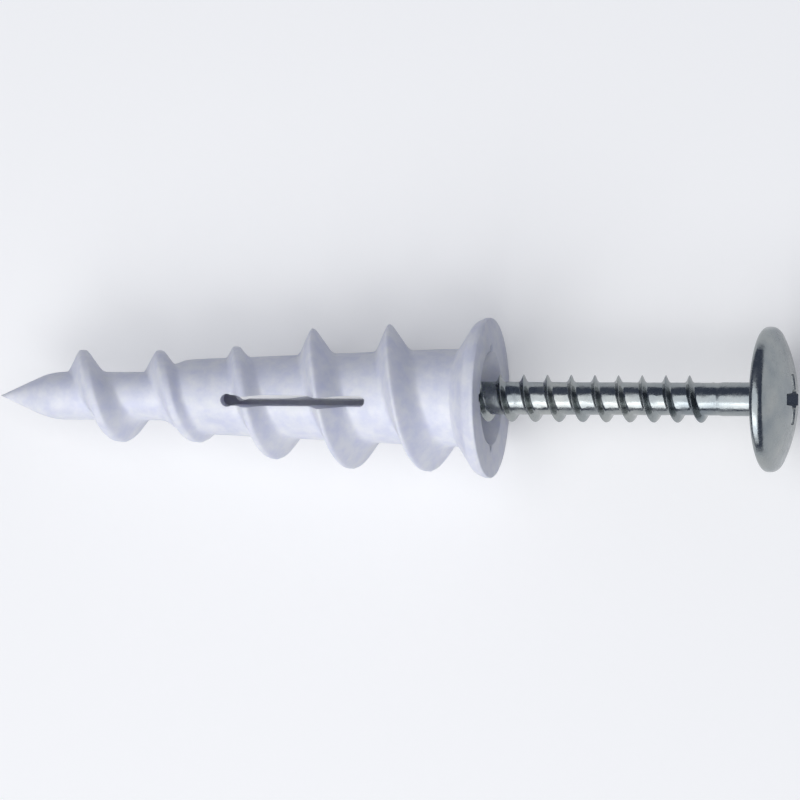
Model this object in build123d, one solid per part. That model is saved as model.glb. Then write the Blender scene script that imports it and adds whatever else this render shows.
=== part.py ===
from build123d import *
import math
import os

# Self-drilling plasterboard anchor: a nylon plug with an auger thread, and the truss-head screw
# that is started in its mouth. Millimetres and degrees.
# Both pieces share one axis, X. The origin is where it crosses the flange's front face, which ends
# up flush with the wall. The drill point is at -X and the screw's head at +X. +Z is up: the anchor
# lies on its side, and the slot's near mouth faces up.

# Screw
SCREW_LENGTH = 30.0  # under the head, to the point
START_DEPTH = 5.2  # how far the screw's point is inside the flange's face
ROOT_RADIUS = 1.45
THREAD_HEIGHT = 0.65
THREAD_PITCH = 2.15
THREAD_FLANK_ANGLE = 24.0
SHANK_RADIUS = 1.5
GIMLET_LENGTH = 3.7
GIMLET_BARE_LENGTH = 0.8  # from the very point to the first trace of thread
GIMLET_RISE_TURNS = 1.6  # over which the thread rises to its full height
RUNOUT_GAP = 5.7  # from the head's underside to the last full crest
RUNOUT_TURNS = 0.75
HEAD_RADIUS = 6.43
HEAD_RIM = 1.05
HEAD_DOME = 1.7
DOME_CUTS = 4
HEAD_EDGE_CHAMFER = 0.12
UNDER_HEAD_CHAMFER = 0.3
DRIVE_REACH = 2.3  # the screw's cross recess, from the axis to a wing's end
DRIVE_WING_WIDTH = 0.95
DRIVE_HUB_RADIUS = 1.05
DRIVE_DEPTH = 2.2
DRIVE_TAPER = 0.5  # size at the bottom over size at the top

# Plug: drill point, neck and shoulder
POINT_HALF_ANGLE = 24.5
POINT_BLEND_RADIUS = 6.8
POINT_BLEND_CUTS = 3
NECK_RADIUS = 2.1
DRILL_LENGTH = 15.2  # from the point to the shoulder's foot
SHOULDER_LENGTH = 2.3
SHOULDER_CUTS = 4

# Plug: bore and barrel
SCREW_CLEARANCE = 0.1  # between the screw's crests and the bore
BORE_END_GAP = 0.15  # beyond the point of a screw driven home
BORE_TIP_OVERLAP = 0.6  # how far the bore's point reaches into the neck
SHOULDER_WALL = 1.05
MOUTH_WALL = 2.15

# Plug: flange, mouth and cross recess
FLANGE_RADIUS = 7.1
FLANGE_RIM = 0.35
FLANGE_DEPTH = 2.75  # front face to where the cone behind the rim meets the barrel
FLANGE_EDGE_DROP = 0.3  # of the bevel between the rim and that cone
FLANGE_EDGE_RUN = 0.75
MOUTH_RADIUS = 4.2
MOUTH_DEPTH = 2.6
RECESS_REACH = 4.65  # from the axis to a wing's end
RECESS_DEPTH = 6.0
RECESS_TAPER = 0.62
RECESS_ROOT_WIDTH = 1.7
RECESS_TIP_WIDTH = 0.55

# Plug: expansion slot
SLOT_WIDTH = 0.95
SLOT_RELIEF_RADIUS = 0.57
SLOT_FACE_GAP = 10.6  # from the flange's face
SLOT_SHOULDER_GAP = 5.7  # from the shoulder's foot
SLOT_LEAN = 5.4  # of the slot's plane, from +Z towards -Y

# Plug: auger thread
AUGER_PITCH = 7.0
FIRST_CREST = 7.5  # from the point to the first full crest, on the +Y side
LAST_CREST_GAP = 5.2  # from the flange's face to the last full crest
DRILL_CREST_HEIGHT = 1.95  # above the neck
FULL_CREST_HEIGHT = 2.25  # above the barrel at the mouth
DRILL_CREST_WIDTH = 0.8
FULL_CREST_WIDTH = 0.25
GROWTH_GAP = 5.6  # from the shoulder's foot to where the crest starts to grow
GROWTH_LENGTH = 5.0
BACK_FLANK_ANGLE = 24.0  # the flank that faces the point
FRONT_FLANK_ANGLE = 35.0  # the flank that faces the flange
AUGER_RISE_TURNS = 0.3
AUGER_FADE_TURNS = 0.3

# Both threads
AUGER_SECTIONS_PER_TURN = 18
THREAD_SECTIONS_PER_TURN = 12
ROOT_OVERLAP = 0.35  # how deep a thread's foot is set into its core
END_SINK = 0.1  # how far a thread's crest dips under its core at both ends

# Worked out from the above
CREST_RADIUS = ROOT_RADIUS + THREAD_HEIGHT
GIMLET_X = -START_DEPTH
HEAD_SEAT_X = GIMLET_X + SCREW_LENGTH
HEAD_TOP_X = HEAD_SEAT_X + HEAD_RIM + HEAD_DOME
RUNOUT_X = HEAD_SEAT_X - RUNOUT_GAP + THREAD_PITCH * RUNOUT_TURNS
BORE_RADIUS = CREST_RADIUS + SCREW_CLEARANCE
BORE_DEPTH = SCREW_LENGTH + BORE_END_GAP
SHOULDER_X = BORE_TIP_OVERLAP - BORE_DEPTH
POINT_X = SHOULDER_X - DRILL_LENGTH
BARREL_START_X = SHOULDER_X + SHOULDER_LENGTH
BARREL_START_RADIUS = BORE_RADIUS + SHOULDER_WALL
BARREL_END_RADIUS = BORE_RADIUS + MOUTH_WALL
DRILL_CREST_RADIUS = NECK_RADIUS + DRILL_CREST_HEIGHT
FULL_CREST_RADIUS = BARREL_END_RADIUS + FULL_CREST_HEIGHT


def slope(angle):
    return math.tan(math.radians(angle))


def eased(share):
    """From 0 to 1 without a kink at either end."""
    share = min(max(share, 0.0), 1.0)
    return share * share * (3 - 2 * share)


def turned(outline):
    """Revolve a closed outline, drawn on the +Y side of the XY plane, about the X axis."""
    return revolve(make_face(outline), Axis.X)


def chamfered_at(face, point, length):
    """Bevel the one corner of a flat face that lies at a point."""
    corner = face.vertices().sort_by_distance(point)[0]
    return chamfer(corner, length)


def cut_flat(arc, cuts):
    """An arc of an outline as straight cuts, which a lathe turns to a row of short cones."""
    return Polyline(*[arc @ (cut / cuts) for cut in range(cuts + 1)])


def polar(x, radius, angle):
    """A point at a distance from the X axis; 0 degrees is +Y, and 90 degrees is +Z."""
    turn = math.radians(angle)
    return Vector(x, radius * math.cos(turn), radius * math.sin(turn))


def skinned(sections):
    """A solid through flat sections, each a list of as many corners, with flat facets between."""
    facets = [Face(Wire.make_polygon(end)) for end in (sections[0], sections[-1])]
    for near, far in zip(sections, sections[1:]):
        for corner in range(len(near)):
            before = corner - 1
            for third in (near[before], far[corner]):
                triangle = Wire.make_polygon([near[corner], third, far[before]])
                facets.append(Face(triangle))
    return Solid(Shell(facets))


def helical_ridge(start_angle, end_angle, sections_per_turn, place, size):
    """A right-handed thread ridge, through sections that all hold the X axis.

    place(angle) gives a section's x, and size(angle, x) its foot radius, crest radius, crest
    width (0 on a sharp crest), and the slopes of its flanks towards -X and towards +X.
    """
    step_angle = 360 / sections_per_turn
    first_step = math.floor(start_angle / step_angle)
    last_step = math.ceil(end_angle / step_angle)
    sections = []
    for step in range(first_step, last_step + 1):
        angle = step * step_angle
        x = place(angle)
        foot, crest, width, back_slope, front_slope = size(angle, x)
        height = crest - foot
        corners = [polar(x - width / 2 - height * back_slope, foot, angle)]
        corners.append(polar(x - width / 2, crest, angle))
        if width > 0:
            corners.append(polar(x + width / 2, crest, angle))
        corners.append(polar(x + width / 2 + height * front_slope, foot, angle))
        sections.append(corners)
    return skinned(sections)


def cross(reach, root_width, tip_width, x):
    """The corners of four wings across the X axis, as wide as given at their roots and ends."""
    root = root_width / 2
    tip = tip_width / 2
    corners = []
    for quarter in range(4):
        for along, across in ((root, -root), (reach, -tip), (reach, tip)):
            corners.append(Vector(x, along, across).rotate(Axis.X, 90 * quarter))
    return corners


def tapered_cross(reach, root_width, tip_width, x, depth, taper):
    """A cross recess that opens at x and narrows towards -X."""
    mouth = cross(reach, root_width, tip_width, x)
    bottom = cross(reach * taper, root_width * taper, tip_width * taper, x - depth)
    return skinned([mouth, bottom])


def plug_core_radius(x):
    """A radius that lies on or just inside the plug's turned core, behind the flange."""
    if x < SHOULDER_X:
        return NECK_RADIUS
    if x < BARREL_START_X:
        share = (x - SHOULDER_X) / SHOULDER_LENGTH
        return NECK_RADIUS + (BARREL_START_RADIUS - NECK_RADIUS) * share
    share = (x - BARREL_START_X) / (-FLANGE_DEPTH - BARREL_START_X)
    return BARREL_START_RADIUS + (BARREL_END_RADIUS - BARREL_START_RADIUS) * share


def plug_section():
    """Half the section through drill point, neck, shoulder, barrel and flange."""
    blend_drop = POINT_BLEND_RADIUS * (1 - math.cos(math.radians(POINT_HALF_ANGLE)))
    blend_run = POINT_BLEND_RADIUS * math.sin(math.radians(POINT_HALF_ANGLE))
    cone_radius = NECK_RADIUS - blend_drop
    cone_end = Vector(POINT_X + cone_radius / slope(POINT_HALF_ANGLE), cone_radius)
    neck_start = Vector(cone_end.X + blend_run, NECK_RADIUS)
    neck_end = Vector(SHOULDER_X, NECK_RADIUS)
    barrel_start = Vector(BARREL_START_X, BARREL_START_RADIUS)
    barrel_end = Vector(-FLANGE_DEPTH, BARREL_END_RADIUS)
    edge_start = (-FLANGE_RIM - FLANGE_EDGE_RUN, FLANGE_RADIUS - FLANGE_EDGE_DROP)
    rim_back = (-FLANGE_RIM, FLANGE_RADIUS)
    shoulder = TangentArc(barrel_start, neck_end, tangent=barrel_start - barrel_end)
    outline = [
        Line((POINT_X, 0), cone_end),
        cut_flat(TangentArc(neck_start, cone_end, tangent=(-1, 0)), POINT_BLEND_CUTS),
        Line(neck_start, neck_end),
        cut_flat(shoulder, SHOULDER_CUTS),
        Line(barrel_start, barrel_end),
        Line(barrel_end, edge_start),
        Line(edge_start, rim_back),
        Line(rim_back, (0, FLANGE_RADIUS)),
        Line((0, FLANGE_RADIUS), (0, 0)),
        Line((0, 0), (POINT_X, 0)),
    ]
    return make_face(outline)


def auger():
    """The plug's coarse thread: low and blunt behind the point, then tall and sharp."""
    first_angle = 0.0
    first_x = POINT_X + FIRST_CREST
    last_angle = (-LAST_CREST_GAP - first_x) / AUGER_PITCH * 360
    growth_x = SHOULDER_X + GROWTH_GAP
    back_slope = slope(BACK_FLANK_ANGLE)
    front_slope = slope(FRONT_FLANK_ANGLE)

    def place(angle):
        return first_x + AUGER_PITCH * angle / 360

    def size(angle, x):
        left = math.exp(-max(x - growth_x, 0) / GROWTH_LENGTH)
        full_crest = FULL_CREST_RADIUS + (DRILL_CREST_RADIUS - FULL_CREST_RADIUS) * left
        width = FULL_CREST_WIDTH + (DRILL_CREST_WIDTH - FULL_CREST_WIDTH) * left
        rise = eased(1 + (angle - first_angle) / 360 / AUGER_RISE_TURNS)
        fade = eased(1 - (angle - last_angle) / 360 / AUGER_FADE_TURNS)
        core = plug_core_radius(x)
        foot_reach = (full_crest - core) * back_slope + width
        foot = plug_core_radius(x - foot_reach) - ROOT_OVERLAP
        sunk = core - END_SINK
        crest = sunk + (full_crest - sunk) * min(rise, fade)
        return foot, crest, width, back_slope, front_slope

    start_angle = first_angle - AUGER_RISE_TURNS * 360
    end_angle = last_angle + AUGER_FADE_TURNS * 360
    return helical_ridge(start_angle, end_angle, AUGER_SECTIONS_PER_TURN, place, size)


def bore():
    """The screw's way in: a countersunk mouth, a bore clear of its crests, and a pointed end."""
    cone_x = GIMLET_LENGTH - BORE_DEPTH
    return turned(
        Polyline(
            (0, 0),
            (0, MOUTH_RADIUS),
            (-MOUTH_DEPTH, BORE_RADIUS),
            (cone_x, BORE_RADIUS),
            (-BORE_DEPTH, 0),
            close=True,
        )
    )


def slot():
    """The expansion slot, right through the barrel, with a round relief at its far end."""
    far_x = SHOULDER_X + SLOT_SHOULDER_GAP
    near_x = -SLOT_FACE_GAP
    length = near_x - far_x
    outline = Pos((far_x + near_x) / 2, 0) * SlotOverall(length, SLOT_WIDTH)
    outline += Pos(far_x + SLOT_RELIEF_RADIUS, 0) * Circle(SLOT_RELIEF_RADIUS)
    return Rot(SLOT_LEAN, 0, 0) * extrude(outline, FULL_CREST_RADIUS, both=True)


def make_plug():
    recess = tapered_cross(
        RECESS_REACH, RECESS_ROOT_WIDTH, RECESS_TIP_WIDTH, 0, RECESS_DEPTH, RECESS_TAPER
    )
    return revolve(plug_section(), Axis.X) + auger() - bore() - recess - slot()


def screw_blank():
    """Plain shank and head."""
    rim_x = HEAD_SEAT_X + HEAD_RIM
    outline = [
        Line((RUNOUT_X, 0), (RUNOUT_X, SHANK_RADIUS)),
        Line((RUNOUT_X, SHANK_RADIUS), (HEAD_SEAT_X, SHANK_RADIUS)),
        Line((HEAD_SEAT_X, SHANK_RADIUS), (HEAD_SEAT_X, HEAD_RADIUS)),
        Line((HEAD_SEAT_X, HEAD_RADIUS), (rim_x, HEAD_RADIUS)),
        cut_flat(TangentArc((HEAD_TOP_X, 0), (rim_x, HEAD_RADIUS), tangent=(0, 1)), DOME_CUTS),
        Line((HEAD_TOP_X, 0), (RUNOUT_X, 0)),
    ]
    section = make_face(outline)
    section = chamfered_at(section, (HEAD_SEAT_X, SHANK_RADIUS), UNDER_HEAD_CHAMFER)
    section = chamfered_at(section, (HEAD_SEAT_X, HEAD_RADIUS), HEAD_EDGE_CHAMFER)
    return revolve(section, Axis.X)


def screw_core():
    """The thread's core: many-sided, with a corner at each of the thread's sections."""
    across_x = Plane(origin=(GIMLET_X + GIMLET_LENGTH, 0, 0), x_dir=(0, 1, 0), z_dir=(1, 0, 0))
    outline = across_x * RegularPolygon(ROOT_RADIUS, THREAD_SECTIONS_PER_TURN)
    point = loft([Vertex(GIMLET_X, 0, 0), outline.face()], ruled=True)
    return point + extrude(outline, RUNOUT_X - GIMLET_X - GIMLET_LENGTH)


def screw_thread():
    """The coarse thread, from the gimlet point to its run-out on the shank."""
    last_angle = 180.0
    last_x = HEAD_SEAT_X - RUNOUT_GAP
    start_x = GIMLET_X + GIMLET_BARE_LENGTH
    start_angle = last_angle + (start_x - last_x) / THREAD_PITCH * 360
    flank_slope = slope(THREAD_FLANK_ANGLE)

    def place(angle):
        return last_x + THREAD_PITCH * (angle - last_angle) / 360

    def size(angle, x):
        root = ROOT_RADIUS * min((x - GIMLET_X) / GIMLET_LENGTH, 1)
        foot = root - min(ROOT_OVERLAP, root / 2)
        sunk = root - min(END_SINK, root / 4)
        rise = eased((angle - start_angle) / 360 / GIMLET_RISE_TURNS)
        fade = eased(1 - (angle - last_angle) / 360 / RUNOUT_TURNS)
        crest = sunk + (root + THREAD_HEIGHT - sunk) * min(rise, fade)
        return foot, crest, 0, flank_slope, flank_slope

    end_angle = last_angle + RUNOUT_TURNS * 360
    return helical_ridge(start_angle, end_angle, THREAD_SECTIONS_PER_TURN, place, size)


def screw_drive():
    """The head's cross recess, with a conical hub where its wings meet."""
    wings = tapered_cross(
        DRIVE_REACH, DRIVE_WING_WIDTH, DRIVE_WING_WIDTH, HEAD_TOP_X, DRIVE_DEPTH, DRIVE_TAPER
    )
    bottom_x = HEAD_TOP_X - DRIVE_DEPTH
    bottom_radius = DRIVE_HUB_RADIUS * DRIVE_TAPER
    hub = turned(
        Polyline(
            (HEAD_TOP_X, 0),
            (HEAD_TOP_X, DRIVE_HUB_RADIUS),
            (bottom_x, bottom_radius),
            (bottom_x - bottom_radius, 0),
            close=True,
        )
    )
    return wings + hub


def make_screw():
    return screw_core() + screw_thread() + screw_blank() - screw_drive()


os.makedirs("parts", exist_ok=True)
export_step(make_plug(), "parts/plug.step")
export_step(make_screw(), "parts/screw.step")
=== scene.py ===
import math

import bmesh
import bpy
from mathutils import Matrix, Vector, noise


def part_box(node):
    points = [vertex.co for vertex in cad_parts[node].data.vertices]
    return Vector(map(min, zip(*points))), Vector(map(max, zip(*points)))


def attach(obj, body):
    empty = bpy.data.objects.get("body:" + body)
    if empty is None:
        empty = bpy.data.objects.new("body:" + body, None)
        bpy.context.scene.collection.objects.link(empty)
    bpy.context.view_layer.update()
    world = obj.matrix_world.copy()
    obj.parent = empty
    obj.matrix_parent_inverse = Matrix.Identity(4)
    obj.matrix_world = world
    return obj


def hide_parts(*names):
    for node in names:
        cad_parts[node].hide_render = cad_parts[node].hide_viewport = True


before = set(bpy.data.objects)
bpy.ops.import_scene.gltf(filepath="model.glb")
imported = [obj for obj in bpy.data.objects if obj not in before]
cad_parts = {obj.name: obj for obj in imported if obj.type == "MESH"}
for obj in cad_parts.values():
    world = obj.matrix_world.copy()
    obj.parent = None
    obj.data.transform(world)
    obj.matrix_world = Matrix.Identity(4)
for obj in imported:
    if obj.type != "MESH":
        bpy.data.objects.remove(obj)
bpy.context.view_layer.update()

# Lengths are in millimetres and angles in degrees, until a mesh, light or camera is made.
# The anchor's axis is X; an angle about it is 0 at +Y and 90 at +Z.
MM = 0.001

# What the model gives
plug_low, plug_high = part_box("plug")
screw_low, screw_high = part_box("screw")
POINT_X = plug_low.x / MM
FLANGE_RADIUS = plug_high.y / MM
GIMLET_X = screw_low.x / MM
HEAD_RADIUS = screw_high.y / MM

# Screw
SCREW_LENGTH = 30.0
ROOT_RADIUS = 1.45
CREST_RADIUS = 2.1
THREAD_PITCH = 2.15
THREAD_FLANK_ANGLE = 24.0
THREAD_CREST_ROUNDING = 0.05
THREAD_FOOT_FILLET = 0.25
THREAD_LUMP_HEIGHT = 0.02  # of the unevenness that rolling and plating leave
THREAD_LUMP_LENGTH = 0.55
SHANK_RADIUS = 1.5
SHANK_STEP_RUN = 0.3
GIMLET_LENGTH = 3.7
GIMLET_BARE_LENGTH = 0.8
GIMLET_RISE_TURNS = 1.6
RUNOUT_GAP = 5.7
RUNOUT_TURNS = 0.75
THREAD_END_ANGLE = 180.0  # of the last full crest, about the axis
HEAD_RIM = 1.05
HEAD_DOME = 1.7
HEAD_EDGE_ROUNDING = 0.7
HEAD_FOOT_ROUNDING = 0.45
UNDER_HEAD_FILLET = 0.3
DRIVE_REACH = 2.3
DRIVE_WING_WIDTH = 0.95
DRIVE_HUB_RADIUS = 1.05
DRIVE_DEPTH = 2.2
DRIVE_TAPER = 0.5
DRIVE_BEVEL_DEPTH = 0.3
DRIVE_BEVEL_WIDTH = 0.12

# Plug: drill point, neck, shoulder and barrel
POINT_HALF_ANGLE = 24.5
POINT_BLEND_RADIUS = 6.8
NECK_RADIUS = 2.1
DRILL_LENGTH = 15.2
SHOULDER_LENGTH = 2.3
SHOULDER_EASING = 0.45
BORE_RADIUS = 2.2
BORE_DEPTH = 30.15
BARREL_START_RADIUS = 3.25
BARREL_END_RADIUS = 4.35

# Plug: flange, mouth and cross recess
FLANGE_RIM = 0.35
FLANGE_DEPTH = 2.75
FLANGE_EDGE_DROP = 0.3
FLANGE_EDGE_RUN = 0.75
FLANGE_FILLET = 0.25
FLANGE_BEVEL_ROUNDING = 0.8
FLANGE_EDGE_ROUNDING = 0.12
MOUTH_RADIUS = 4.2
MOUTH_DEPTH = 2.6
MOUTH_EDGE_ROUNDING = 0.15
MOUTH_FOOT_ROUNDING = 0.8
RECESS_REACH = 4.65
RECESS_DEPTH = 6.0
RECESS_TAPER = 0.62
RECESS_ROOT_WIDTH = 1.7
RECESS_TIP_WIDTH = 0.55
RECESS_BEVEL = 0.1

# Plug: expansion slot
SLOT_WIDTH = 0.95
SLOT_RELIEF_RADIUS = 0.57
SLOT_FACE_GAP = 10.6
SLOT_SHOULDER_GAP = 5.7
SLOT_LEAN = 5.4

# Plug: auger thread
AUGER_PITCH = 7.0
FIRST_CREST = 7.5
LAST_CREST_GAP = 5.2
DRILL_CREST_RADIUS = 4.05
FULL_CREST_RADIUS = 6.6
DRILL_CREST_WIDTH = 0.8
FULL_CREST_WIDTH = 0.25
GROWTH_GAP = 5.6
GROWTH_LENGTH = 5.0
BACK_FLANK_ANGLE = 24.0
FRONT_FLANK_ANGLE = 35.0
AUGER_RISE_TURNS = 0.3
AUGER_FADE_TURNS = 0.3
AUGER_LEAD_TURNS = 1 / 3  # of bare core in the threaded stretch, before the ridge starts
AUGER_CREST_ROUNDING = 0.16
AUGER_FOOT_FILLET = 0.5

# Plug: what the mould leaves on it
SEAM_ANGLE = 5.0  # of the parting line, about square to the slot's plane
SEAM_HEIGHT = 0.045
WAVE_HEIGHT = 0.02
WAVE_LENGTH = 2.2
FINISH_FADE = 1.5  # how far from its ends the seam and the waves reach their full height

# Worked out from the above
HEAD_SEAT_X = GIMLET_X + SCREW_LENGTH
HEAD_TOP_X = HEAD_SEAT_X + HEAD_RIM + HEAD_DOME
RUNOUT_X = HEAD_SEAT_X - RUNOUT_GAP + THREAD_PITCH * RUNOUT_TURNS
SHOULDER_X = POINT_X + DRILL_LENGTH
BARREL_START_X = SHOULDER_X + SHOULDER_LENGTH

# How finely the skins are drawn. Rows are closest at a ridge's crest and feet.
AUGER_COLUMNS = 144  # around the axis
AUGER_ROWS = (-52, -46, -40, -36, -33, -30, -28, -26, -24, -22, -20, -17, -14, -11, -8, -6, -4, -2, 0)
AUGER_ROWS += (2, 4, 6, 8, 11, 15, 19, 23, 27, 30, 33, 36, 39, 42, 45, 49, 54, 62, 72, 82)
THREAD_COLUMNS = 144
THREAD_ROWS = (-46, -38, -32, -28, -25, -22, -20, -18, -15, -12, -9, -6, -4, -2, -1, 0)
THREAD_ROWS += (1, 2, 4, 6, 9, 12, 15, 18, 20, 22, 25, 28, 32, 38, 46, 58, 70, 84)
HUB_COLUMNS = 48
ARC_STEP = 6.0
DOME_STEP = 2.0
EASING_STEPS = 4  # to either side of an eased bend
FLANGE_LEAD = 1.0  # how far before its foot the flange's profile starts
BORE_MARGIN = 1.0  # over the bore's radius: what lies within it is the bore's wall
SPARE_TURNS = 2  # of rows past each end of a thread, where they fold into its end ring
SHORTEST_RUN = 1e-9  # against a division by zero
ROW_GAP = 0.8
SUPPORT_GAP = 0.05
SUPPORTED_RUN = 6 * SUPPORT_GAP
MERGE_DISTANCE = 0.0001
SHARP_ANGLE = 40.0
CUTTER_RISE = 0.4  # how far a cutter stands out of what it cuts

# Nylon: noise scales are per metre, and each colour stands at a value of the noise
MOTTLE_SCALE = 620
MOTTLE_DETAIL = 4
MOTTLE_ROUGHNESS = 0.6
MOTTLE_COLOURS = [(0.35, (0.735, 0.755, 0.875)), (0.65, (0.86, 0.87, 0.92))]
SHEEN_SCALE = 700
SHEEN_DETAIL = 4
SHEEN_ROUGHNESS = (0.34, 0.5)
SUBSURFACE_WEIGHT = 0.35
SUBSURFACE_RADIUS = (1.0, 0.95, 1.15)
SUBSURFACE_DEPTH = 0.9
NYLON_IOR = 1.53
PORE_SCALE = 1500
PORE_DETAIL = 5
PORE_ROUGHNESS = 0.6
PORE_DEPTH = 0.03
PORE_STRENGTH = 0.5

# Zinc plate
CLOUD_SCALE = 260
CLOUD_DETAIL = 4
CLOUD_COLOURS = [(0.3, (0.24, 0.27, 0.29)), (0.5, (0.31, 0.335, 0.34)), (0.7, (0.38, 0.395, 0.385))]
GRAIN_SCALE = 1400
GRAIN_DETAIL = 4
GRAIN_ROUGHNESS = (0.16, 0.34)
DENT_SCALE = 650
DENT_DETAIL = 5
DENT_ROUGHNESS = 0.65
DENT_DEPTH = 0.05
DENT_STRENGTH = 0.9

NOISE_RANGE = (0.3, 0.7)  # where most of a noise's values lie

# Camera: the photograph looks down on the anchor, a little from the head's side
VIEW_TILT = 13.7  # of the line of sight, from -Z towards the screw's head
VIEW_ROLL = 0.3
VIEW_CENTRE = (-8.3, -0.22)  # x and y at the picture's centre
VIEW_WIDTH = 70.8
VIEW_DISTANCE = 3000.0
VIEW_REACH = 20000.0
SENSOR_WIDTH = 36.0

# Lights: places and sizes in millimetres, powers in watts
LIGHT_TARGET = (-8, 0, 0)
KEY_PLACE = (-150, -350, 345)
KEY_SIDE = 360
KEY_POWER = 1.0
TOP_PLACE = (-60, -120, 630)
TOP_SIDE = 760
TOP_POWER = 2.75
SKY_COLOUR = (0.60, 0.70, 1.0)
SKY_STRENGTH = 0.16

# Floor
FLOOR_HALF = 1500.0
FLOOR_COLOUR = (0.8, 0.8, 0.8)
FLOOR_ROUGHNESS = 0.9
FLOOR_GLOW = 0.25


def slope(angle):
    """Rise over run of a line that leans by an angle."""
    return math.tan(math.radians(angle))


def eased(share):
    """From 0 to 1 without a kink at either end."""
    share = min(max(share, 0.0), 1.0)
    return share * share * (3 - 2 * share)


def soft_max(a, b, fillet):
    """The larger of two radii, with a fillet where they meet."""
    near = max(fillet - abs(a - b), 0.0) / fillet
    return max(a, b) + near * near * fillet / 4


def soft_positive(value, rounding):
    """The value where it is positive and 0 where it isn't, with a rounded bend between."""
    return (value + math.sqrt(value * value + rounding * rounding)) / 2


def past_crest(distance, width, rounding):
    """How far a place is down from a crest of some width, 0 at its middle and rounded there."""
    behind = soft_positive(-distance - width / 2, rounding)
    ahead = soft_positive(distance - width / 2, rounding)
    return behind + ahead - 2 * soft_positive(-width / 2, rounding)


def polar(x, radius, angle):
    """The place at an angle about the axis."""
    turn = math.radians(angle)
    return Vector((x, radius * math.cos(turn), radius * math.sin(turn)))


# Profiles: lists of (x, radius)


def arc_points(centre, radius, start_angle, end_angle, step_angle=ARC_STEP):
    """Points of an arc, angles from +X towards the radius."""
    steps = max(2, math.ceil(abs(end_angle - start_angle) / step_angle))
    points = []
    for step in range(steps + 1):
        turn = math.radians(start_angle + (end_angle - start_angle) * step / steps)
        points.append((centre[0] + radius * math.cos(turn), centre[1] + radius * math.sin(turn)))
    return points


def rounded_profile(corners):
    """A profile through (x, radius, rounding) corners, each rounded by a tangent arc."""
    points = [corners[0][:2]]
    for before, corner, after in zip(corners, corners[1:], corners[2:]):
        here = Vector(corner[:2])
        back = (Vector(before[:2]) - here).normalized()
        ahead = (Vector(after[:2]) - here).normalized()
        rounding = corner[2]
        if rounding == 0:
            points.append(corner[:2])
            continue
        half = back.angle(ahead) / 2
        centre = here + (back + ahead).normalized() * (rounding / math.sin(half))
        start = here + back * (rounding / math.tan(half)) - centre
        end = here + ahead * (rounding / math.tan(half)) - centre
        start_angle = math.degrees(math.atan2(start.y, start.x))
        turn = math.degrees(math.atan2(start.x * end.y - start.y * end.x, start.dot(end)))
        points += arc_points(centre, rounding, start_angle, start_angle + turn)
    points.append(corners[-1][:2])
    return with_supports(points)


def with_supports(points):
    """A profile with points added near the ends of its long runs, so that they shade flat."""
    result = [points[0]]
    for start, end in zip(points, points[1:]):
        run = math.dist(start, end)
        places = [run]
        if run > SUPPORTED_RUN:
            inner = spread(SUPPORT_GAP, run - SUPPORT_GAP, ROW_GAP)
            places = [SUPPORT_GAP, *inner, run]
        for place in places:
            share = place / run
            result.append(tuple(a + (b - a) * share for a, b in zip(start, end)))
    return result


def spread(start, end, gap):
    """Values from start to end, evenly spaced by about a gap, without the start."""
    steps = max(1, math.ceil(abs(end - start) / gap))
    return [start + (end - start) * step / steps for step in range(1, steps + 1)]


# Skins: lathe-turned meshes whose rows follow a thread where there is one


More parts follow.
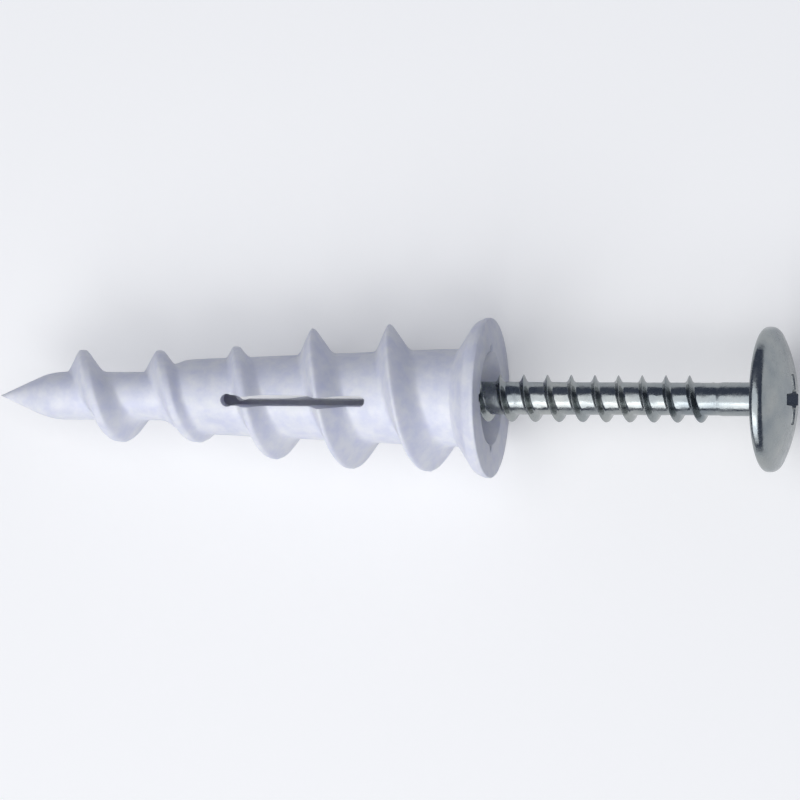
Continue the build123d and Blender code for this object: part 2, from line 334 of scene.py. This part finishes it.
class Skin:
    """Vertices and faces of a closed skin about the X axis, in millimetres."""

    def __init__(self, columns):
        self.columns = columns
        self.vertices = []
        self.faces = []

    def vertex(self, x, radius, column):
        """Adds a vertex and returns its number."""
        self.vertices.append(polar(x, radius, 360 * column / self.columns))
        return len(self.vertices) - 1

    def ring(self, x, radius_at):
        """One vertex for each column; radius_at is a number or a function of the angle."""
        if radius_at == 0:
            return [self.vertex(x, 0, 0)] * self.columns
        if callable(radius_at):
            return [self.vertex(x, radius_at(360 * c / self.columns), c) for c in range(self.columns)]
        return [self.vertex(x, radius_at, c) for c in range(self.columns)]

    def face(self, *corners):
        """Adds a face without its repeated corners, if three or more are left."""
        kept = [corner for at, corner in enumerate(corners) if corner != corners[at - 1]]
        if len(set(kept)) >= 3:
            self.faces.append(kept)

    def band(self, near, far):
        """Faces between two rings."""
        for column in range(self.columns):
            after = (column + 1) % self.columns
            self.face(near[column], near[after], far[after], far[column])

    def turned(self, points, ring=None):
        """Rings through a profile's points, on from a ring if there is one; returns the last."""
        for x, radius in points:
            new = self.ring(x, radius)
            if ring is not None:
                self.band(ring, new)
            ring = new
        return ring

    def threaded(self, start_x, end_x, pitch, crest_x, rows, radius):
        """The stretch where rows run along the thread; returns its first and last ring.

        rows are places across one turn, in parts of a pitch of which there are as many as
        columns, from the crest. radius is a function of x and the angle.
        """
        unit = pitch / self.columns
        start_at = round((start_x - crest_x) / unit)
        end_at = round((end_x - crest_x) / unit)

        def x_at(place):
            return crest_x + place * unit

        first = self.ring(x_at(start_at), lambda angle: radius(x_at(start_at), angle))
        last = self.ring(x_at(end_at), lambda angle: radius(x_at(end_at), angle))
        made = {}

        def on_line(line, column):
            turn, row = line
            if column == self.columns:
                return on_line((turn + 1, row), 0)
            place = turn * self.columns + rows[row] + column
            if place <= start_at:
                return first[column]
            if place >= end_at:
                return last[column]
            if (line, column) not in made:
                angle = 360 * column / self.columns
                made[line, column] = self.vertex(x_at(place), radius(x_at(place), angle), column)
            return made[line, column]

        first_turn = start_at // self.columns - SPARE_TURNS
        last_turn = end_at // self.columns + SPARE_TURNS
        lines = [(turn, row) for turn in range(first_turn, last_turn) for row in range(len(rows))]
        for line, following in zip(lines, lines[1:]):
            for column in range(self.columns):
                after = column + 1
                self.face(
                    on_line(line, column),
                    on_line(line, after),
                    on_line(following, after),
                    on_line(following, column),
                )
        return first, last

    def to_object(self, name):
        """The skin as an object of the scene, in metres."""
        mesh = bpy.data.meshes.new(name)
        mesh.from_pydata([tuple(v * MM for v in vertex) for vertex in self.vertices], [], self.faces)
        return finished_object(name, mesh)


def finished_object(name, mesh):
    """An object in the scene that holds a new mesh."""
    mesh.validate()
    mesh.update()
    piece = bpy.data.objects.new(name, mesh)
    bpy.context.scene.collection.objects.link(piece)
    return piece


def ridge_radius(x, angle, pitch, crest_x, core, fillet, section):
    """The core's radius with the thread's ridges nearest to a place on top.

    section(turned, crest_place, distance) is a ridge's radius at a distance from its crest.
    """
    nearest = round((x - crest_x - pitch * angle / 360) / pitch)
    radius = core(x)
    for turn in (nearest - 1, nearest, nearest + 1):
        turned = angle + 360 * turn
        crest_place = crest_x + pitch * turned / 360
        ridge = section(turned, crest_place, x - crest_place)
        if ridge is not None:
            radius = soft_max(radius, ridge, fillet)
    return radius


# Plug


def plug_core_profile():
    """The turned form from the point to the foot of the flange, as the source has it."""
    half = math.radians(POINT_HALF_ANGLE)
    cone_radius = NECK_RADIUS - POINT_BLEND_RADIUS * (1 - math.cos(half))
    cone_x = POINT_X + cone_radius / slope(POINT_HALF_ANGLE)
    neck_x = cone_x + POINT_BLEND_RADIUS * math.sin(half)
    blend = arc_points(
        (neck_x, NECK_RADIUS - POINT_BLEND_RADIUS), POINT_BLEND_RADIUS, 90 + POINT_HALF_ANGLE, 90
    )
    barrel_run = -FLANGE_DEPTH - BARREL_START_X
    barrel_lean = math.atan((BARREL_END_RADIUS - BARREL_START_RADIUS) / barrel_run)
    chord = Vector((SHOULDER_LENGTH, BARREL_START_RADIUS - NECK_RADIUS))
    chord_lean = math.atan2(chord.y, chord.x)
    bend = chord_lean - barrel_lean
    shoulder_radius = chord.length / 2 / math.sin(bend)
    centre = (
        BARREL_START_X + shoulder_radius * math.sin(barrel_lean),
        BARREL_START_RADIUS - shoulder_radius * math.cos(barrel_lean),
    )
    end_angle = 90 + math.degrees(barrel_lean)
    shoulder = arc_points(centre, shoulder_radius, end_angle + math.degrees(2 * bend), end_angle)
    return [(POINT_X, 0), *blend, *shoulder, (-FLANGE_DEPTH, BARREL_END_RADIUS)]


def on_profile(profile):
    """A function that gives a profile's radius at x."""

    def radius(x):
        for (x0, r0), (x1, r1) in zip(profile, profile[1:]):
            if x0 <= x <= x1:
                return r0 + (r1 - r0) * (x - x0) / max(x1 - x0, SHORTEST_RUN)
        return profile[-1][1] if x > profile[-1][0] else profile[0][1]

    return radius


def softened(radius, reach):
    """The same profile with its bends eased over a reach to either side."""
    shares = [step / EASING_STEPS for step in range(-EASING_STEPS, EASING_STEPS + 1)]
    return lambda x: sum(radius(x + reach * share) for share in shares) / len(shares)


def auger_section(core):
    """The auger ridge's section, which grows along the core and fades at both ends."""
    first_x = POINT_X + FIRST_CREST
    last_angle = (-LAST_CREST_GAP - first_x) / AUGER_PITCH * 360
    growth_x = SHOULDER_X + GROWTH_GAP

    def section(turned, crest_place, distance):
        rise = 1 + turned / 360 / AUGER_RISE_TURNS
        fade = 1 - (turned - last_angle) / 360 / AUGER_FADE_TURNS
        if rise <= 0 or fade <= 0:
            return None
        left = math.exp(-max(crest_place - growth_x, 0) / GROWTH_LENGTH)
        full = FULL_CREST_RADIUS + (DRILL_CREST_RADIUS - FULL_CREST_RADIUS) * left
        width = FULL_CREST_WIDTH + (DRILL_CREST_WIDTH - FULL_CREST_WIDTH) * left
        sunk = core(crest_place) - AUGER_FOOT_FILLET
        crest = sunk + (full - sunk) * min(eased(rise), eased(fade))
        flank = slope(FRONT_FLANK_ANGLE if distance > 0 else BACK_FLANK_ANGLE)
        return crest - past_crest(distance, width, AUGER_CREST_ROUNDING) / flank

    return section


def flange_profile(core):
    """From the barrel round the flange, through the mouth and down the bore to its point."""
    start_x = -FLANGE_DEPTH - FLANGE_LEAD
    return rounded_profile(
        [
            (start_x, core(start_x), 0),
            (-FLANGE_DEPTH, BARREL_END_RADIUS, FLANGE_FILLET),
            (-FLANGE_RIM - FLANGE_EDGE_RUN, FLANGE_RADIUS - FLANGE_EDGE_DROP, FLANGE_BEVEL_ROUNDING),
            (-FLANGE_RIM, FLANGE_RADIUS, FLANGE_EDGE_ROUNDING),
            (0, FLANGE_RADIUS, FLANGE_EDGE_ROUNDING),
            (0, MOUTH_RADIUS, MOUTH_EDGE_ROUNDING),
            (-MOUTH_DEPTH, BORE_RADIUS, MOUTH_FOOT_ROUNDING),
            (GIMLET_LENGTH - BORE_DEPTH, BORE_RADIUS, 0),
            (-BORE_DEPTH, 0, 0),
        ]
    )


def plug_skin():
    """The plug's whole surface, before its recess and slot are cut."""
    profile = plug_core_profile()
    core = softened(on_profile(profile), SHOULDER_EASING)
    section = auger_section(core)
    crest_x = POINT_X + FIRST_CREST
    start_x = crest_x - AUGER_PITCH * (AUGER_RISE_TURNS + AUGER_LEAD_TURNS)
    end_x = -FLANGE_DEPTH - FLANGE_FILLET
    wall_limit = BORE_RADIUS + BORE_MARGIN

    def radius(x, angle):
        shape = ridge_radius(x, angle, AUGER_PITCH, crest_x, core, AUGER_FOOT_FILLET, section)
        finish = WAVE_HEIGHT * noise.noise(polar(x, shape, angle) / WAVE_LENGTH)
        if (angle - SEAM_ANGLE) % 180 == 0:
            finish += SEAM_HEIGHT
        from_ends = min(x - start_x, end_x - x)
        return shape + finish * eased(from_ends / FINISH_FADE)

    skin = Skin(AUGER_COLUMNS)
    first, last = skin.threaded(start_x, end_x, AUGER_PITCH, crest_x, AUGER_ROWS, radius)
    point = [(x, r) for x, r in profile if x < start_x - ROW_GAP / 2]
    point += [(x, core(x)) for x in spread(point[-1][0], start_x, ROW_GAP)[:-1]]
    skin.band(skin.turned(point), first)
    skin.turned([(x, r) for x, r in flange_profile(core) if x > end_x or r < wall_limit], last)
    return skin


# Cutters


def prism(name, sections):
    """A closed solid between flat sections of as many corners, in millimetres."""
    count = len(sections[0])
    vertices = [tuple(corner * MM for corner in point) for section in sections for point in section]
    faces = [list(range(count))[::-1], [count * (len(sections) - 1) + at for at in range(count)]]
    for level in range(len(sections) - 1):
        low = level * count
        for at in range(count):
            after = (at + 1) % count
            faces.append([low + at, low + after, low + count + after, low + count + at])
    mesh = bpy.data.meshes.new(name)
    mesh.from_pydata(vertices, [], faces)
    piece = finished_object(name, mesh)
    fix_normals(mesh)
    return piece


def fix_normals(mesh):
    """Turn every face of a closed mesh outwards."""
    work = bmesh.new()
    work.from_mesh(mesh)
    bmesh.ops.recalc_face_normals(work, faces=work.faces)
    work.to_mesh(mesh)
    work.free()


def cut(piece, cutter):
    """Cut one mesh out of another, and throw the cutter away."""
    modifier = piece.modifiers.new("cut", "BOOLEAN")
    modifier.operation = "DIFFERENCE"
    modifier.solver = "EXACT"
    modifier.object = cutter
    bpy.context.view_layer.update()
    graph = bpy.context.evaluated_depsgraph_get()
    result = bpy.data.meshes.new_from_object(piece.evaluated_get(graph))
    piece.modifiers.clear()
    old = piece.data
    piece.data = result
    bpy.data.meshes.remove(old)
    cutter_mesh = cutter.data
    bpy.data.objects.remove(cutter)
    bpy.data.meshes.remove(cutter_mesh)


def cross_corners(x, reach, root_width, tip_width):
    """The outline of a cross with four tapered wings, square to the axis."""
    corners = []
    for quarter in range(4):
        turn = Matrix.Rotation(math.radians(90 * quarter), 3, "X")
        for along, across in (
            (root_width / 2, -root_width / 2),
            (reach, -tip_width / 2),
            (reach, tip_width / 2),
        ):
            corners.append(turn @ Vector((x, along, across)))
    return corners


def tapered_cross(name, x, reach, root_width, tip_width, depth, taper, bevel_depth, bevel_width):
    """A cross recess that narrows towards -X, with a bevel round its mouth."""
    above = bevel_width * (1 + CUTTER_RISE / bevel_depth)
    sections = []
    for run, grown in ((-depth, 0), (-bevel_depth, 0), (CUTTER_RISE, above)):
        share = 1 + (1 - taper) * run / depth
        sections.append(
            cross_corners(
                x + run,
                reach * share + grown,
                root_width * share + 2 * grown,
                tip_width * share + 2 * grown,
            )
        )
    return prism(name, sections)


def slot_cutter():
    """The expansion slot with its round relief, right through the barrel."""
    far_x = SHOULDER_X + SLOT_SHOULDER_GAP
    near_x = -SLOT_FACE_GAP
    half = SLOT_WIDTH / 2
    relief_x = far_x + SLOT_RELIEF_RADIUS
    meet = math.degrees(math.asin(half / SLOT_RELIEF_RADIUS))
    outline = arc_points((near_x - half, 0), half, -90, 90)
    outline += arc_points((relief_x, 0), SLOT_RELIEF_RADIUS, meet, 360 - meet)
    lean = Matrix.Rotation(math.radians(SLOT_LEAN), 3, "X")
    sections = []
    for z in (-FLANGE_RADIUS, FLANGE_RADIUS):
        sections.append([lean @ Vector((x, y, z)) for x, y in outline])
    return prism("slot", sections)


# Screw


def screw_root(x):
    """The radius at the thread's foot, which falls to 0 at the gimlet point."""
    return ROOT_RADIUS * min(max((x - GIMLET_X) / GIMLET_LENGTH, 0), 1)


def thread_section():
    """The screw thread's section, which grows out of the gimlet point and runs out at the shank."""
    last_angle = THREAD_END_ANGLE
    last_x = HEAD_SEAT_X - RUNOUT_GAP
    start_x = GIMLET_X + GIMLET_BARE_LENGTH
    start_angle = last_angle + (start_x - last_x) / THREAD_PITCH * 360
    flank = slope(THREAD_FLANK_ANGLE)
    height = CREST_RADIUS - ROOT_RADIUS

    def section(turned, crest_place, distance):
        rise = (turned - start_angle) / 360 / GIMLET_RISE_TURNS
        fade = 1 - (turned - last_angle) / 360 / RUNOUT_TURNS
        if rise <= 0 or fade <= 0:
            return None
        root = screw_root(crest_place)
        sunk = root - THREAD_FOOT_FILLET
        crest = sunk + (root + height - sunk) * min(eased(rise), eased(fade))
        return crest - past_crest(distance, 0, THREAD_CREST_ROUNDING) / flank

    return section


def head_profile():
    """From the thread's run-out along the shank and round the head to the top of its dome."""
    dome_radius = (HEAD_RADIUS**2 + HEAD_DOME**2) / 2 / HEAD_DOME
    dome_angle = math.degrees(math.asin(HEAD_RADIUS / dome_radius))
    dome = arc_points((HEAD_TOP_X - dome_radius, 0), dome_radius, dome_angle, 0, DOME_STEP)
    outline = rounded_profile(
        [
            (RUNOUT_X, ROOT_RADIUS, 0),
            (RUNOUT_X + SHANK_STEP_RUN, SHANK_RADIUS, 0),
            (HEAD_SEAT_X, SHANK_RADIUS, UNDER_HEAD_FILLET),
            (HEAD_SEAT_X, HEAD_RADIUS, HEAD_FOOT_ROUNDING),
            (HEAD_SEAT_X + HEAD_RIM, HEAD_RADIUS, HEAD_EDGE_ROUNDING),
            (*dome[1], 0),
        ]
    )
    return outline + dome[2:]


def screw_skin():
    """The screw's whole surface, before its recess is cut."""
    section = thread_section()
    crest_x = HEAD_SEAT_X - RUNOUT_GAP - THREAD_PITCH * THREAD_END_ANGLE / 360
    start_x = GIMLET_X + GIMLET_BARE_LENGTH / 2
    end_x = RUNOUT_X - SUPPORT_GAP

    def radius(x, angle):
        shape = ridge_radius(x, angle, THREAD_PITCH, crest_x, screw_root, THREAD_FOOT_FILLET, section)
        lump = THREAD_LUMP_HEIGHT * noise.noise(polar(x, shape, angle) / THREAD_LUMP_LENGTH)
        from_ends = min(x - start_x, end_x - x)
        return shape + lump * eased(from_ends / FINISH_FADE)

    skin = Skin(THREAD_COLUMNS)
    first, last = skin.threaded(start_x, end_x, THREAD_PITCH, crest_x, THREAD_ROWS, radius)
    tip_x = (GIMLET_X + start_x) / 2
    skin.band(skin.turned([(GIMLET_X, 0), (tip_x, screw_root(tip_x))]), first)
    skin.turned(head_profile(), last)
    return skin


def hub_cutter():
    """The conical hub where the wings of the screw's recess meet."""
    bottom_x = HEAD_TOP_X - DRIVE_DEPTH
    bottom_radius = DRIVE_HUB_RADIUS * DRIVE_TAPER
    above = (DRIVE_HUB_RADIUS - bottom_radius) * CUTTER_RISE / DRIVE_DEPTH
    skin = Skin(HUB_COLUMNS)
    skin.turned(
        [
            (bottom_x - bottom_radius, 0),
            (bottom_x, bottom_radius),
            (HEAD_TOP_X + CUTTER_RISE, DRIVE_HUB_RADIUS + above),
            (HEAD_TOP_X + CUTTER_RISE, 0),
        ]
    )
    return skin.to_object("hub")


# Surfaces


def tidy_shading(piece):
    """Smooth shading with crisp lines where the faces meet at a sharp angle."""
    mesh = piece.data
    work = bmesh.new()
    work.from_mesh(mesh)
    bmesh.ops.remove_doubles(work, verts=work.verts, dist=MERGE_DISTANCE * MM)
    bmesh.ops.dissolve_degenerate(work, dist=MERGE_DISTANCE * MM, edges=work.edges)
    for face in work.faces:
        face.smooth = True
    for edge in work.edges:
        edge.smooth = not (edge.is_manifold and edge.calc_face_angle(0) > math.radians(SHARP_ANGLE))
    work.to_mesh(mesh)
    work.free()
    mesh.update()


def node_material(name):
    """A new material with its nodes, its links and its shader."""
    material = bpy.data.materials.new(name)
    material.use_nodes = True
    nodes = material.node_tree.nodes
    shader = nodes["Principled BSDF"]
    return material, nodes, material.node_tree.links, shader


def noise_node(nodes, links, place, scale, detail, roughness=0.5):
    """A noise in the object's own space."""
    node = nodes.new("ShaderNodeTexNoise")
    node.inputs["Scale"].default_value = scale
    node.inputs["Detail"].default_value = detail
    node.inputs["Roughness"].default_value = roughness
    links.new(place, node.inputs["Vector"])
    return node.outputs["Fac"]


def ramp(nodes, links, value, stops):
    """Colours between stops, which are pairs of a place and a colour."""
    node = nodes.new("ShaderNodeValToRGB")
    elements = node.color_ramp.elements
    elements[0].position, elements[0].color = stops[0][0], (*stops[0][1], 1)
    elements[1].position, elements[1].color = stops[-1][0], (*stops[-1][1], 1)
    for position, colour in stops[1:-1]:
        elements.new(position).color = (*colour, 1)
    links.new(value, node.inputs["Fac"])
    return node.outputs["Color"]


def spread_over(nodes, links, value, limits):
    """A noise's values spread between two limits."""
    node = nodes.new("ShaderNodeMapRange")
    node.inputs["From Min"].default_value = NOISE_RANGE[0]
    node.inputs["From Max"].default_value = NOISE_RANGE[1]
    node.inputs["To Min"].default_value = limits[0]
    node.inputs["To Max"].default_value = limits[1]
    links.new(value, node.inputs["Value"])
    return node.outputs["Result"]


def bump(nodes, links, shader, height, distance, strength):
    """Fine relief on a shader, from a noise."""
    node = nodes.new("ShaderNodeBump")
    node.inputs["Strength"].default_value = strength
    node.inputs["Distance"].default_value = distance * MM
    links.new(height, node.inputs["Height"])
    links.new(node.outputs["Normal"], shader.inputs["Normal"])


def nylon_material():
    """Mottled, slightly see-through white with patches of sheen and fine pores."""
    material, nodes, links, shader = node_material("nylon")
    place = nodes.new("ShaderNodeTexCoord").outputs["Object"]
    mottle = noise_node(nodes, links, place, MOTTLE_SCALE, MOTTLE_DETAIL, MOTTLE_ROUGHNESS)
    links.new(ramp(nodes, links, mottle, MOTTLE_COLOURS), shader.inputs["Base Color"])
    sheen = noise_node(nodes, links, place, SHEEN_SCALE, SHEEN_DETAIL)
    links.new(spread_over(nodes, links, sheen, SHEEN_ROUGHNESS), shader.inputs["Roughness"])
    shader.inputs["Subsurface Weight"].default_value = SUBSURFACE_WEIGHT
    shader.inputs["Subsurface Radius"].default_value = SUBSURFACE_RADIUS
    shader.inputs["Subsurface Scale"].default_value = SUBSURFACE_DEPTH * MM
    shader.inputs["IOR"].default_value = NYLON_IOR
    pores = noise_node(nodes, links, place, PORE_SCALE, PORE_DETAIL, PORE_ROUGHNESS)
    bump(nodes, links, shader, pores, PORE_DEPTH, PORE_STRENGTH)
    return material


def zinc_material():
    """Clouded bright plate with a fine grain and shallow dents."""
    material, nodes, links, shader = node_material("zinc_plate")
    place = nodes.new("ShaderNodeTexCoord").outputs["Object"]
    cloud = noise_node(nodes, links, place, CLOUD_SCALE, CLOUD_DETAIL)
    links.new(ramp(nodes, links, cloud, CLOUD_COLOURS), shader.inputs["Base Color"])
    shader.inputs["Metallic"].default_value = 1.0
    grain = noise_node(nodes, links, place, GRAIN_SCALE, GRAIN_DETAIL)
    links.new(spread_over(nodes, links, grain, GRAIN_ROUGHNESS), shader.inputs["Roughness"])
    dents = noise_node(nodes, links, place, DENT_SCALE, DENT_DETAIL, DENT_ROUGHNESS)
    bump(nodes, links, shader, dents, DENT_DEPTH, DENT_STRENGTH)
    return material


# Pieces


def make_plug():
    """The nylon moulding with its cross recess and slot."""
    piece = plug_skin().to_object("plug_moulding")
    fix_normals(piece.data)
    recess = tapered_cross(
        "recess",
        0,
        RECESS_REACH,
        RECESS_ROOT_WIDTH,
        RECESS_TIP_WIDTH,
        RECESS_DEPTH,
        RECESS_TAPER,
        RECESS_BEVEL,
        RECESS_BEVEL,
    )
    cut(piece, recess)
    cut(piece, slot_cutter())
    tidy_shading(piece)
    piece.data.materials.append(nylon_material())
    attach(piece, "plug")
    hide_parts("plug")


def make_screw():
    """The plated screw with its cross recess."""
    piece = screw_skin().to_object("screw_body")
    fix_normals(piece.data)
    wings = tapered_cross(
        "wings",
        HEAD_TOP_X,
        DRIVE_REACH,
        DRIVE_WING_WIDTH,
        DRIVE_WING_WIDTH,
        DRIVE_DEPTH,
        DRIVE_TAPER,
        DRIVE_BEVEL_DEPTH,
        DRIVE_BEVEL_WIDTH,
    )
    cut(piece, wings)
    cut(piece, hub_cutter())
    tidy_shading(piece)
    piece.data.materials.append(zinc_material())
    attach(piece, "screw")
    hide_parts("screw")


# Studio


def floor_material():
    """Pale paper: part of its whiteness is its own, for the camera and for reflections."""
    material, nodes, links, shader = node_material("floor_paper")
    shader.inputs["Base Color"].default_value = (*FLOOR_COLOUR, 1)
    shader.inputs["Roughness"].default_value = FLOOR_ROUGHNESS
    shader.inputs["Specular IOR Level"].default_value = 0.0
    shader.inputs["Emission Color"].default_value = (1, 1, 1, 1)
    path = nodes.new("ShaderNodeLightPath")
    seen = path.outputs["Is Camera Ray"]
    for kind in ("Is Glossy Ray", "Is Transmission Ray"):
        either = nodes.new("ShaderNodeMath")
        either.operation = "MAXIMUM"
        links.new(seen, either.inputs[0])
        links.new(path.outputs[kind], either.inputs[1])
        seen = either.outputs[0]
    share = nodes.new("ShaderNodeMath")
    share.operation = "MULTIPLY"
    share.inputs[1].default_value = FLOOR_GLOW
    links.new(seen, share.inputs[0])
    links.new(share.outputs[0], shader.inputs["Emission Strength"])
    return material


def make_floor():
    """A flat floor under the flange's lowest point."""
    half = FLOOR_HALF
    corners = [(-half, -half), (half, -half), (half, half), (-half, half)]
    mesh = bpy.data.meshes.new("floor")
    mesh.from_pydata([(x * MM, y * MM, -FLANGE_RADIUS * MM) for x, y in corners], [], [(0, 1, 2, 3)])
    floor = finished_object("floor", mesh)
    floor.data.materials.append(floor_material())


def make_camera():
    """A long lens far off, so that the view is all but parallel."""
    tilt = math.radians(VIEW_TILT)
    right = Vector((math.cos(tilt), 0, -math.sin(tilt)))
    back = Vector((math.sin(tilt), 0, math.cos(tilt)))
    up = back.cross(right)
    turn = Matrix((right, up, back)).transposed() @ Matrix.Rotation(math.radians(VIEW_ROLL), 3, "Z")
    data = bpy.data.cameras.new("camera")
    data.sensor_width = SENSOR_WIDTH
    data.lens = SENSOR_WIDTH * VIEW_DISTANCE / VIEW_WIDTH
    data.clip_end = VIEW_REACH * MM
    camera = bpy.data.objects.new("camera", data)
    centre = Vector((*VIEW_CENTRE, 0))
    camera.matrix_world = Matrix.Translation((centre + back * VIEW_DISTANCE) * MM) @ turn.to_4x4()
    bpy.context.scene.collection.objects.link(camera)
    bpy.context.scene.camera = camera


def area_light(name, place, side, power):
    """A square white light that faces the anchor."""
    data = bpy.data.lights.new(name, "AREA")
    data.shape = "SQUARE"
    data.size = side * MM
    data.energy = power
    light = bpy.data.objects.new(name, data)
    sight = (Vector(LIGHT_TARGET) - Vector(place)).to_track_quat("-Z", "Y").to_matrix().to_4x4()
    light.matrix_world = Matrix.Translation(Vector(place) * MM) @ sight
    bpy.context.scene.collection.objects.link(light)


def make_lights():
    """A soft key light in front, a softer one above and a faint cold sky."""
    area_light("key", KEY_PLACE, KEY_SIDE, KEY_POWER)
    area_light("top", TOP_PLACE, TOP_SIDE, TOP_POWER)
    world = bpy.data.worlds.new("studio")
    world.use_nodes = True
    background = world.node_tree.nodes["Background"]
    background.inputs["Color"].default_value = (*SKY_COLOUR, 1)
    background.inputs["Strength"].default_value = SKY_STRENGTH
    bpy.context.scene.world = world


make_plug()
make_screw()
make_floor()
make_camera()
make_lights()
bpy.context.scene.view_settings.view_transform = "Standard"
